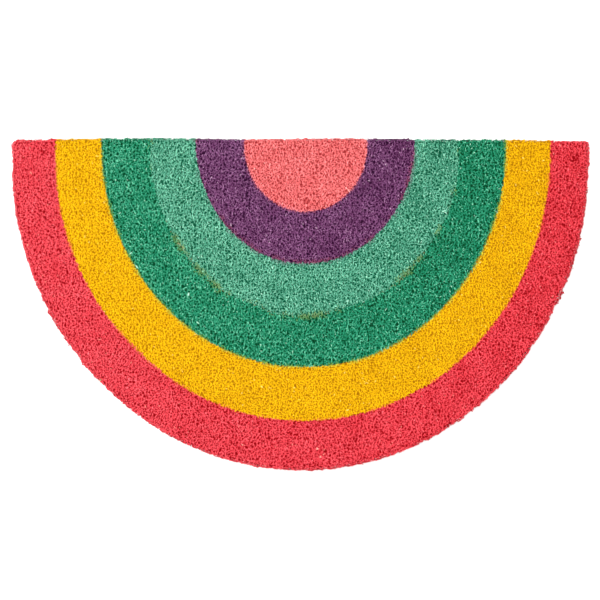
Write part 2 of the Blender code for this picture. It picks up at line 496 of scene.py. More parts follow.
FINISHES = {
    Dye.PINK: FibreFinish(
        ((158, 48, 50), (210, 90, 91), (230, 115, 115), (244, 132, 133), (252, 156, 155)),
        overlap_in=(232, 106, 106),
        overlap_out=(236, 130, 136),
        washed=(250, 184, 178),
        contrast=0.98,
    ),
    Dye.PURPLE: FibreFinish(
        ((44, 6, 42), (86, 38, 78), (112, 63, 104), (134, 84, 126), (170, 122, 160)),
        overlap_in=(150, 78, 106),
        overlap_out=(124, 62, 90),
        washed=(204, 170, 192),
        strength=1.03,
        pale_share=0.04,
        contrast=1.03,
    ),
    Dye.TEAL: FibreFinish(
        ((10, 80, 54), (50, 126, 98), (84, 160, 130), (112, 186, 156), (150, 220, 190)),
        overlap_in=(100, 136, 124),
        overlap_out=(108, 150, 98),
        washed=(176, 226, 204),
        strength=1.02,
        bare=STAINED_COIR,
        pale_share=0.06,
    ),
    Dye.GREEN: FibreFinish(
        ((0, 62, 34), (8, 106, 70), (34, 136, 100), (62, 161, 123), (116, 204, 168)),
        overlap_in=(88, 136, 80),
        overlap_out=(94, 146, 66),
        washed=(166, 220, 194),
        strength=1.04,
        bare=STAINED_COIR,
        pale_share=0.05,
        contrast=1.02,
    ),
    Dye.YELLOW: FibreFinish(
        ((170, 114, 0), (204, 150, 0), (228, 177, 3), (238, 188, 9), (248, 203, 28)),
        overlap_in=(198, 186, 52),
        overlap_out=(238, 146, 48),
        washed=(255, 226, 124),
        strength=0.98,
        root_shade=0.8,
        contrast=0.38,
        dark_tail=0.055,
    ),
    Dye.RED: FibreFinish(
        ((144, 6, 18), (198, 44, 54), (220, 67, 78), (232, 82, 92), (248, 112, 120)),
        overlap_in=(228, 96, 56),
        overlap_out=(226, 65, 74),
        washed=(226, 138, 126),
        strength=1.05,
        root_shade=0.62,
        contrast=0.8,
    ),
}


@dataclass(frozen=True)
class GroundFinish:
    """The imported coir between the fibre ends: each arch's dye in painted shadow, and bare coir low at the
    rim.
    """

    shadow: float = 0.68
    soft_line: float = 1.2 * MM
    line_wander: float = 3.0 * MM
    line_scale: float = 110.0
    dye_depth: float = 6.0 * MM
    dye_wander: float = 6.0 * MM
    dye_scale: float = 260.0
    dye_blend: float = 1.0 * MM
    bare_deep: Rgb = (70, 44, 24)
    bare_pale: Rgb = (150, 108, 62)
    grain_scale: float = 900.0
    deep_light: float = 0.45
    grain_light: float = 1.1
    roughness: float = 0.82
    grain_roughness: float = 0.15
    upright_stretch: float = 0.12
    bump_depth: float = 0.5 * MM
    shine: float = 0.08

    def material(self) -> bpy.types.Material:
        """Builds the ground's material.

        Returns:
            The material.
        """
        graph = ShaderGraph("coir_ground")
        at = graph.place()
        x, y, z = graph.split(at)
        wandering = (graph.grain(at, self.line_scale) - 0.5) * self.line_wander
        # Painted shadow: each dye's deepest tone is darkened by the shadow factor for the ground seen down
        # between the fibre ends.
        colour: Any = linear(FINISHES[Dye.RED].tones[0], self.shadow)
        for dye in reversed(DYES[:-1]):
            edge = ARCHES[dye].beyond_shade(x, y) + wandering
            inside = 1.0 - edge.rise(-self.soft_line, self.soft_line)
            colour = graph.mixed(inside, colour, linear(FINISHES[dye].tones[0], self.shadow))
        upright = graph.joined(x, y, z * self.upright_stretch)
        fibres = graph.grain(upright, self.grain_scale, 3.0)
        bare = graph.ramp(fibres, [(0.35, linear(self.bare_deep)), (0.7, linear(self.bare_pale))])
        dyed_from = self.dye_depth + (graph.grain(upright, self.dye_scale) - 0.5) * self.dye_wander
        colour = graph.mixed(z.rise(dyed_from - self.dye_blend, dyed_from + self.dye_blend), bare, colour)
        return graph.finished(
            {
                "Base Color": graph.scaled(colour, fibres * self.grain_light + self.deep_light),
                "Roughness": fibres * self.grain_roughness + self.roughness,
                "Normal": graph.bump(fibres, self.bump_depth),
                "Specular IOR Level": self.shine,
            }
        )


@dataclass(frozen=True)
class BackingFinish:
    """Matt vinyl backing with a fine pebbled face."""

    deep: Rgb = (66, 50, 38)
    pale: Rgb = (92, 72, 54)
    pebble_scale: float = 1500.0
    cloud_scale: float = 40.0
    cloud_share: float = 0.7
    roughness: float = 0.6
    pebble_roughness: float = 0.2
    bump_depth: float = 0.15 * MM

    def material(self) -> bpy.types.Material:
        """Builds the backing's material.

        Returns:
            The material.
        """
        graph = ShaderGraph("backing")
        at = graph.place()
        pebble = graph.grain(at, self.pebble_scale)
        cloud = graph.grain(at, self.cloud_scale)
        tone = cloud * self.cloud_share + pebble * (1.0 - self.cloud_share)
        return graph.finished(
            {
                "Base Color": graph.ramp(tone, [(0.3, linear(self.deep)), (0.7, linear(self.pale))]),
                "Roughness": pebble * self.pebble_roughness + self.roughness,
                "Normal": graph.bump(pebble, self.bump_depth),
            }
        )


class Bench:
    """The hand moves that shape one mesh in edit mode."""

    @staticmethod
    def clear() -> None:
        """Leaves object mode with nothing selected."""
        if bpy.context.object and bpy.context.object.mode != "OBJECT":
            bpy.ops.object.mode_set(mode="OBJECT")
        bpy.ops.object.select_all(action="DESELECT")

    @staticmethod
    def open(piece: bpy.types.Object) -> None:
        """Selects one piece alone and opens it in edit mode with nothing selected in it.

        Args:
            piece: The piece to work on.
        """
        Bench.clear()
        piece.select_set(True)
        bpy.context.view_layer.objects.active = piece
        bpy.ops.object.mode_set(mode="EDIT")
        bpy.ops.mesh.select_all(action="DESELECT")

    @staticmethod
    def pick_faces(piece: bpy.types.Object, wanted: Callable[[bpy.types.MeshPolygon], bool]) -> None:
        """Selects the faces of the piece in edit mode that pass a test.

        Args:
            piece: The piece in edit mode.
            wanted: The test of one face.
        """
        bpy.ops.mesh.select_all(action="DESELECT")
        bpy.ops.mesh.select_mode(type="FACE")
        bpy.ops.object.mode_set(mode="OBJECT")
        for face in piece.data.polygons:
            face.select = wanted(face)
        bpy.ops.object.mode_set(mode="EDIT")

    @staticmethod
    def close() -> None:
        """Goes back to object mode."""
        bpy.ops.object.mode_set(mode="OBJECT")


class MatSurface:
    """The outside of the mat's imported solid, which every fibre is set against."""

    def __init__(self) -> None:
        """Reads the node's mesh."""
        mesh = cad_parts[NODE].data
        corners = [v.co.copy() for v in mesh.vertices]
        self.tree = BVHTree.FromPolygons(corners, [tuple(f.vertices) for f in mesh.polygons])
        self.low, self.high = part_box(NODE)

    def met(self, start: Vector, way: Vector) -> PlaceAndWay | None:
        """Where a line from outside meets the mat and the outward normal there, or None if it misses."""
        point, normal, _, _ = self.tree.ray_cast(start, way)
        return None if point is None else (point, normal)

    def above(self, x: float, y: float) -> PlaceAndWay | None:
        """The top of the mat over a place and the outward normal there, or None beside the mat."""
        return self.met(Vector((x, y, 2 * self.high.z)), Vector((0, 0, -1)))


@dataclass
class MatBody:
    """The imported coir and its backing: the mat's own form, drawn in by the loose fibre ends' length."""

    draw_in: float = 1.3 * MM
    weld: float = 0.01 * MM
    backing_height: float = 2.0 * MM
    sharp_angle: float = math.radians(50)
    facing_down: float = -0.9
    flat_size: tuple[float, float] = (0.702, 0.404)
    flat_area: float = 0.2232

    def build(self) -> bpy.types.Object:
        """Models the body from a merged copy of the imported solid.

        Returns:
            The finished piece.
        """
        Bench.clear()
        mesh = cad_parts[NODE].data.copy()
        mesh.name = "mat_body"
        mesh.materials.clear()
        piece = linked("mat_body", mesh)
        Bench.open(piece)
        bpy.ops.mesh.select_all(action="SELECT")
        bpy.ops.mesh.remove_doubles(threshold=self.weld)
        bpy.ops.transform.shrink_fatten(value=-self.draw_in)
        self._flatten_underside(piece)
        Bench.close()
        self._dress(piece)
        return piece

    def _flatten_underside(self, piece: bpy.types.Object) -> None:
        """Puts the underside back on the floor, since drawing in lifted it."""
        lift = 2 * self.draw_in
        Bench.pick_faces(piece, lambda face: face.normal.z < self.facing_down and face.center.z < lift)
        ground = Vector((0.0, 0.0, 0.0))
        bpy.ops.transform.resize(value=(1.0, 1.0, 0.0), center_override=ground)

    def _dress(self, piece: bpy.types.Object) -> None:
        """Gives the coir and the backing their finishes.

        Args:
            piece: The shaped body.
        """
        piece.data.materials.append(GroundFinish().material())
        piece.data.materials.append(BackingFinish().material())
        for face in piece.data.polygons:
            face.material_index = 1 if face.center.z < self.backing_height else 0
        piece.data.shade_smooth()
        piece.data.set_sharp_from_angle(angle=self.sharp_angle)


def clamped(values: Array) -> Array:
    """Values held between 0 and 1."""
    return np.clip(values, 0.0, 1.0)


def unit(rows: Array) -> Array:
    """Rows of vectors at length 1."""
    return rows / np.maximum(np.linalg.norm(rows, axis=1, keepdims=True), 1e-9)


def dots(first: Array, second: Array) -> Array:
    """The dot products of rows of vectors, as a column."""
    return np.sum(first * second, axis=1, keepdims=True)


def headings(angles: Array) -> Array:
    """Level directions at angles from +X."""
    return np.stack((np.cos(angles), np.sin(angles), np.zeros_like(angles)), axis=1)


@dataclass(frozen=True)
class Knee:
    """One ring of a fibre: its height, its reach towards +X, its radius and how far it tips over."""

    height: float
    reach: float
    radius: float
    tip_over: float


@dataclass
class FibreMesh:
    """A modelled fibre as arrays: its points, its triangles, and where the points lie on its map."""

    points: Array
    triangles: Array
    side: Array
    share: Array
    tip: Array


@dataclass(frozen=True)
class FibreShape:
    """A three-sided fibre with a pointed root at the origin, bent towards +X up to a tip or a blunt cut."""

    knees: tuple[Knee, ...]
    tip_height: float
    tip_reach: float
    blunt: bool
    turn: float = math.radians(20)

    @classmethod
    def bent(
        cls, *rows: tuple[float, float, float, float], tip: tuple[float, float] | None = None
    ) -> "FibreShape":
        """A shape from its knees and its tip.

        Args:
            rows: Each knee's height, reach and radius in millimetres, and how far it tips over in degrees.
            tip: The tip's height and reach in millimetres, or None for a blunt cut at the last knee.

        Returns:
            The shape.
        """
        knees = [Knee(up * MM, out * MM, radius * MM, math.radians(over)) for up, out, radius, over in rows]
        height, reach = tip or rows[-1][:2]
        return cls(tuple(knees), height * MM, reach * MM, blunt=tip is None)

    def model(self) -> FibreMesh:
        """Models the fibre by hand: a cone on its point, extruded from knee to knee and drawn to any tip.

        Returns:
            The fibre as arrays.
        """
        Bench.clear()
        first, last = self.knees[0], self.knees[-1]
        bpy.ops.mesh.primitive_cone_add(
            vertices=3,
            radius1=0.0,
            radius2=first.radius,
            depth=first.height,
            location=(0.0, 0.0, first.height / 2),
            rotation=(0.0, 0.0, self.turn),
        )
        piece = bpy.context.object
        bpy.ops.object.transform_apply(location=True, rotation=True, scale=True)
        Bench.open(piece)
        Bench.pick_faces(piece, lambda face: face.normal.z > 0.9)
        bpy.ops.transform.translate(value=(first.reach, 0.0, 0.0))
        self._tip_over(first, first.tip_over)
        for low, high in zip(self.knees, self.knees[1:]):
            self._extrude(high.reach - low.reach, high.height - low.height)
            share = high.radius / low.radius
            centre = Vector((high.reach, 0.0, high.height))
            bpy.ops.transform.resize(value=(share, share, share), center_override=centre)
            self._tip_over(high, high.tip_over - low.tip_over)
        if not self.blunt:
            self._extrude(self.tip_reach - last.reach, self.tip_height - last.height)
            bpy.ops.mesh.merge(type="CENTER")
        bpy.ops.mesh.select_all(action="SELECT")
        bpy.ops.mesh.quads_convert_to_tris()
        bpy.ops.mesh.normals_make_consistent(inside=False)
        Bench.close()
        return self._read(piece)

    def _extrude(self, along: float, up: float) -> None:
        """Extrudes the ring in hand."""
        bpy.ops.mesh.extrude_region_move(TRANSFORM_OT_translate={"value": (along, 0.0, up)})

    def _tip_over(self, knee: Knee, angle: float) -> None:
        """Turns the ring in hand about its own middle."""
        if angle:
            centre = Vector((knee.reach, 0.0, knee.height))
            bpy.ops.transform.rotate(value=-angle, orient_axis="Y", center_override=centre)

    def _read(self, piece: bpy.types.Object) -> FibreMesh:
        """Reads the finished fibre into arrays and clears it away.

        Args:
            piece: The modelled fibre.

        Returns:
            The arrays.
        """
        points = np.array([v.co for v in piece.data.vertices])
        triangles = np.array([f.vertices for f in piece.data.polygons])
        tip = points[int(np.argmax(np.hypot(points[:, 0], points[:, 2])))]
        widest = max(knee.radius for knee in self.knees)
        share = clamped(points[:, 2] / self.tip_height)
        bpy.data.objects.remove(piece, do_unlink=True)
        return FibreMesh(points, triangles, points[:, 1] / widest, share, tip)


@dataclass
class Stand:
    """Fibres as they stand: a row for each, with its place, stem, bend, size, look and dye number."""

    tip: Array
    stem: Array
    bend: Array
    size: Array
    look: Array
    dye: Array
    foot_up: float

    def where(self, chosen: Array) -> "Stand":
        """The fibres that a mask keeps."""
        parts = (self.tip, self.stem, self.bend, self.size, self.look, self.dye)
        return Stand(*(part[chosen] for part in parts), self.foot_up)


Groups = list[tuple[FibreMesh, Stand]]


def dealt(fibres: list[FibreMesh], stand: Stand, rng: np.random.Generator) -> Groups:
    """Deals the shapes of fibre out over a stand at random, and gives each shape its own stand."""
    kinds = rng.integers(0, len(fibres), len(stand.size))
    return [(fibre, stand.where(kinds == kind)) for kind, fibre in enumerate(fibres)]


def dyed(groups: Groups, number: int) -> Groups:
    """The fibres of one dye, by its number."""
    return [(fibre, stand.where(stand.dye == number)) for fibre, stand in groups]


class Field(IntEnum):
    """The noise fields over the plan. Each seam adds its own number to the last four."""

    CLOUD = 1
    SMALL_CLOUD = 2
    CLUMP = 3
    ROUGH_EDGE = 50
    WAVY_EDGE = 51
    LINE = 10
    FINE_LINE = 20
    PATCH = 30
    BARE = 40


def wander(points: Array, length: float, field: int) -> Array:
    """Smooth noise over the plan, about -1 to 1, whose highs and lows lie a length apart."""
    return np.array([noise.noise(Vector((p[0] / length, p[1] / length, field))) for p in points])


@dataclass(frozen=True)
class Well:
    """A deep gap that the photo shows, at a place of the plan in millimetres."""

    x: float
    y: float
    radius: float = 1.8 * MM


WELLS = (
    Well(-81.0, -105.0, 2.2 * MM),
    Well(-89.5, -79.8),
    Well(170.7, -16.5),
    Well(140.3, -55.4),
    Well(182.9, -346.0, 1.9 * MM),
    Well(-130.8, -100.4),
    Well(-127.2, -104.1),
    Well(-130.8, -132.0),
    Well(68.6, -366.7, 2.0 * MM),
    Well(30.9, -379.4, 2.2 * MM),
    Well(-296.2, -89.5, 2.0 * MM),
    Well(-310.8, -88.3),
    Well(-302.9, -57.0),
    Well(-328.9, -113.7),
)


@dataclass
class Pits:
    """Small gaps between the tufts, where the eye sees down into the pile and fibres curl round."""

    rng: np.random.Generator
    pitch: float = 3.9 * MM
    jitter: float = 0.42
    widest: float = 1.25 * MM
    rarity: float = 3.0
    swirl_reach: float = 2.0 * MM
    well_room: float = 2.0

    def __post_init__(self) -> None:
        """Scatters the pits over the mat, staggered row by row, and makes room for the wells."""
        low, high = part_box(NODE)
        row_pitch = self.pitch * math.sin(math.radians(60))
        rows = np.arange(low.y, high.y, row_pitch)
        columns = np.arange(low.x, high.x, self.pitch)
        y, x = (grid.ravel() for grid in np.meshgrid(rows, columns, indexing="ij"))
        push = self.rng.uniform(-self.jitter, self.jitter, (len(x), 2)) * self.pitch
        self.centres = np.stack((x, y), axis=1) + push
        self.radii = self.widest * self.rng.random(len(x)) ** self.rarity
        for well in WELLS:
            self._sink(well)
        self.tree = KDTree(len(x))
        for number, centre in enumerate(self.centres):
            self.tree.insert((centre[0], centre[1], 0.0), number)
        self.tree.balance()

    def _sink(self, well: Well) -> None:
        """Makes the nearest pit a well and pushes the others off it.

        Args:
            well: The well.
        """
        place = np.array((well.x * MM + PLAN_X, well.y * MM + PLAN_Y))
        away = self.centres - place
        off = np.linalg.norm(away, axis=1)
        close = off < self.well_room * well.radius
        self.centres[close] = place + away[close] / off[close, None] * self.well_room * well.radius
        nearest = int(np.argmin(off))
        self.centres[nearest], self.radii[nearest] = place, well.radius

    def near(self, points: Array) -> tuple[Array, Array, Array]:
        """Finds each point's nearest pit.

        Args:
            points: Rows of points.

        Returns:
            The level way out of the pit, how far off its middle is, and its radius.
        """
        numbers = [self.tree.find((p[0], p[1], 0.0))[1] for p in points]
        away = points[:, :2] - self.centres[numbers]
        off = np.linalg.norm(away, axis=1)
        level = np.concatenate((away, np.zeros((len(points), 1))), axis=1)
        return unit(level), off, self.radii[numbers]


@dataclass
class Print:
    """The rainbow as it was printed: which dye each fibre took and how well, and painted light paler to the
    left.
    """

    rng: np.random.Generator
    ragged: float = 0.4 * MM
    fine_wander: float = 3.0 * MM
    tone_middle: float = 0.62
    tone_spread: float = 0.108
    cloud_depth: float = 0.14
    cloud_length: float = 26.0 * MM
    small_cloud_length: float = 7.0 * MM
    # Painted light: fibres are made paler towards the left and darker towards the right, as the light
    # falls.
    side_light: float = 0.12
    half_length: float = 0.35
    patch_depth: float = 1.5
    patch_length: float = 16.0 * MM
    full_overlap: float = 1.7
    bare_base: float = 0.8
    bare_length: float = 7.0 * MM
    bare_deepest: float = 0.6
    fleck_share: float = 0.003

    def plan(self, points: Array) -> tuple[Array, Array]:
        """Plan places of points in the frame's axes."""
        return points[:, 0] - PLAN_X, points[:, 1] - PLAN_Y

    def distances(self, points: Array) -> dict[Dye, Array]:
        """How far points lie outside each inner arch, with the line's wander.

        Args:
            points: Rows of points.

        Returns:
            The distances for each inner arch.
        """
        x, y = self.plan(points)
        found = {}
        for layer, dye in enumerate(DYES[:-1]):
            seam = SEAMS[dye]
            line = wander(points, seam.wander_length, Field.LINE + layer)
            line += 0.5 * wander(points, self.fine_wander, Field.FINE_LINE + layer)
            astray = strays(seam.strays, ARCHES[dye].bearing(x, y))
            found[dye] = ARCHES[dye].beyond(x, y) - astray + seam.wander * line
        return found

    def dyes(self, points: Array) -> Array:
        """The number of the dye at each point, 0 for the innermost.

        Args:
            points: Rows of points.

        Returns:
            The numbers.
        """
        beyond = self.distances(points)
        ragged = self.rng.normal(0.0, self.ragged, len(points))
        return sum((beyond[dye] + ragged > 0.0).astype(int) for dye in DYES[:-1])

    def _tones(self, points: Array, dyes: Array, lift: Array | float) -> Array:
        """How pale each fibre is: its own grain on the print's clouds, its lift, and painted light from the
        left.

        Args:
            points: Rows of points.
            dyes: The number of each point's dye.
            lift: What to add to each fibre's tone, with painted shade and light among it.

        Returns:
            The tones, 0 to 1.
        """
        finishes = [FINISHES[dye] for dye in DYES]
        contrasts = np.array([finish.contrast for finish in finishes])[dyes]
        dark_tails = np.array([finish.dark_tail for finish in finishes])[dyes]
        pale_shares = np.array([finish.pale_share for finish in finishes])[dyes]
        clouds = wander(points, self.cloud_length, Field.CLOUD)
        clouds += 0.4 * wander(points, self.small_cloud_length, Field.SMALL_CLOUD)
        grain = lift + self.rng.normal(0.0, self.tone_spread, len(points))
        grain = grain * contrasts - dark_tails * self.rng.exponential(1.0, len(points))
        tone = self.tone_middle + grain + self.cloud_depth * clouds
        # Painted light: paler on the left, darker on the right.
        tone -= self.side_light * points[:, 0] / self.half_length
        return clamped(np.where(self.rng.random(len(points)) < pale_shares, 1.0, tone))

    def looks(self, points: Array, dyes: Array, lift: Array | float) -> Array:
        """Where each fibre lies across its finish's map: a tone, an overlap of inks or bare coir.

        Args:
            points: Rows of points.
            dyes: The number of each point's dye.
            lift: What to add to each fibre's tone, with painted shade and light among it.

        Returns:
            The places across the map.
        """
        count = len(points)
        finish = FibreFinish
        look = finish.STRIP + self._tones(points, dyes, lift) * (finish.TONE_END - 2 * finish.STRIP)
        beyond = self.distances(points)
        draw = self.rng.random(count)
        for layer, dye in enumerate(DYES[:-1]):
            seam = SEAMS[dye]
            stretch = strays(seam.patches, ARCHES[dye].bearing(*self.plan(points)))
            patch = self.patch_depth * wander(points, self.patch_length, Field.PATCH + layer)
            patch = clamped(seam.patch_base + stretch + patch)
            near = self.full_overlap - self.full_overlap * np.abs(beyond[dye]) / seam.overlap
            inked = draw < clamped(near) * patch * seam.patchiness
            look = np.where(inked, np.where(dyes <= layer, finish.OUT_PLACE, finish.IN_PLACE), look)
            if seam.bare_line:
                thin = stretch * (self.bare_base + wander(points, self.bare_length, Field.BARE + layer))
                strip = seam.bare_line * clamped(thin)
                missed = (np.abs(beyond[dye]) < strip) & (self.rng.random(count) < seam.bare_share)
                deep = self.bare_deepest * self.rng.random(count)
                bare = finish.BARE_START + deep * (finish.BARE_END - finish.BARE_START)
                look = np.where(missed, bare, look)
        fleck = self.rng.random(count) < self.fleck_share
        return np.where(fleck, finish.PALE_PLACE, look)


@dataclass
class FibrePiece:
    """One piece made of many standing fibres of one dye."""

    name: str
    dye: Dye
    material: bpy.types.Material
    side_step: float = 0.012

    TIP_UP = 0.99
    TIP_SHIFT = np.array((0.5, 0.5, 1.0))

    def build(self, groups: Groups) -> bpy.types.Object:
        """Joins copies of the modelled fibres into one mesh.

        Args:
            groups: Each fibre shape with the stand of its copies.

        Returns:
            The finished piece.
        """
        points, triangles, places, start = [], [], [], 0
        for fibre, stand in groups:
            copies = self._copies(fibre, stand)
            count, corners = copies.shape[0], copies.shape[1]
            shift = start + np.arange(count)[:, None, None] * corners
            points.append(copies.reshape(-1, 3))
            triangles.append((fibre.triangles[None] + shift).reshape(-1, 3))
            across = stand.look[:, None] + self.side_step * fibre.side[None]
            up = stand.foot_up + (self.TIP_UP - stand.foot_up) * fibre.share[None]
            places.append(np.stack((across, np.broadcast_to(up, across.shape)), axis=2).reshape(-1, 2))
            start += count * corners
        return self._join(np.concatenate(points), np.concatenate(triangles), np.concatenate(places))

    def _copies(self, fibre: FibreMesh, stand: Stand) -> Array:
        """Sets a fibre's copies, each with its tip as high as its place and its middle over it.

        Args:
            fibre: The modelled fibre.
            stand: Where and how its copies stand.

        Returns:
            Each copy's points.
        """
        stem = unit(stand.stem)
        ahead = unit(stand.bend - stem * dots(stand.bend, stem))
        aside = np.cross(stem, ahead)
        turn = np.stack((ahead, aside, stem), axis=2) * stand.size[:, None, None]
        shape = np.einsum("nij,kj->nki", turn, fibre.points)
        reach = np.einsum("nij,j->ni", turn, fibre.tip)
        foot = stand.tip - reach * self.TIP_SHIFT
        return shape + foot[:, None, :]

    def _join(self, points: Array, triangles: Array, places: Array) -> bpy.types.Object:
        """Makes the object from its arrays.

        Args:
            points: Rows of points.
            triangles: Rows of three point numbers.
            places: Where each point lies on the fibres' map.

        Returns:
            The object, riding on the mat's body.
        """
        mesh = bpy.data.meshes.new(self.name)
        mesh.vertices.add(len(points))
        mesh.vertices.foreach_set("co", points.astype(np.float32).ravel())
        mesh.loops.add(triangles.size)
        mesh.loops.foreach_set("vertex_index", triangles.astype(np.int32).ravel())
        mesh.polygons.add(len(triangles))
        mesh.polygons.foreach_set("loop_start", np.arange(0, triangles.size, 3, dtype=np.int32))
        mesh.update(calc_edges=True)
        layer = mesh.uv_layers.new(name=FIBRE_MAP)
        layer.uv.foreach_set("vector", places[triangles.ravel()].astype(np.float32).ravel())
        mesh.shade_flat()
        mesh.materials.append(self.material)
        piece = linked(self.name, mesh)
        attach(piece, BODY)
        return piece


class Stray(Enum):
    """How a fibre that catches the eye lies on the pile."""

    FLECK = "fleck"
    STREAK = "streak"


@dataclass(frozen=True)
class Mark:
    """One pale or undyed fibre that the photo shows, at a place of the plan in millimetres.

    The heading runs in degrees anticlockwise from the straight edge's direction.
    """

    x: float
    y: float
    size: float
    heading: float = 0.0
    look: float = FibreFinish.PALE_PLACE


MARKS = {
    Stray.FLECK: (
        Mark(-147.9, -171.0, 0.9),
        Mark(-136.0, -176.5, 0.8),
        Mark(-114.5, -180.3, 0.8),
        Mark(126.9, -11.7, 0.9),
        Mark(102.6, -26.3, 0.7),
        Mark(-45.7, -188.0, 0.9),
        Mark(-46.9, -250.0, 1.0),
        Mark(-223.2, -49.4, 0.9),
        Mark(-42.1, -28.7, 0.8),
        Mark(-54.2, -35.7, 1.0),
        Mark(-77.2, -118.7, 0.7),
        Mark(-36.5, -125.0, 0.7),
        Mark(46.8, -149.5, 0.7),
        Mark(22.4, -376.4, 1.8),
        Mark(26.0, -386.2, 1.4),
        Mark(-68.8, -371.6, 1.1),
        Mark(-337.5, -111.4, 1.1),
        Mark(-330.2, -128.4, 1.2),
    ),
    Stray.STREAK: (
        Mark(-135.7, -189.2, 1.25, 84),
        Mark(-134.6, -187.9, 1.0, 88),
        Mark(-123.5, -223.2, 1.1, -40),
        Mark(-197.7, -155.2, 1.2, -52),
        Mark(-205.0, -138.1, 1.1, 40),
        Mark(60.1, -62.7, 1.0, -55),
        Mark(57.0, -59.4, 0.8, -48),
        Mark(104.8, -30.0, 0.7, 70),
        Mark(175.6, -87.1, 1.1, 25),
        Mark(178.1, -89.5, 0.9, -30),
        Mark(58.8, -196.5, 0.9, 10),
        Mark(-218.4, -89.5, 0.8, 35),
        Mark(-70.0, -22.6, 0.8, 60),
        Mark(-32.3, -155.1, 0.9, 80),
        Mark(-83.5, -103.6, 0.9, 100),
        Mark(29.6, -382.6, 0.8, 60),
        Mark(-45.7, -301.0, 0.9, -42),
        Mark(58.8, -329.0, 0.8, 15),
        Mark(-326.6, -40.9, 1.0, -60),
        Mark(-243.5, -292.0, 1.2, 215, 0.95),
        Mark(-242.3, -293.2, 1.0, 240, 0.97),
        Mark(-146.0, -127.6, 1.3, -38, 0.98),
        Mark(-141.6, -131.6, 1.1, -45, 0.98),
    ),
}


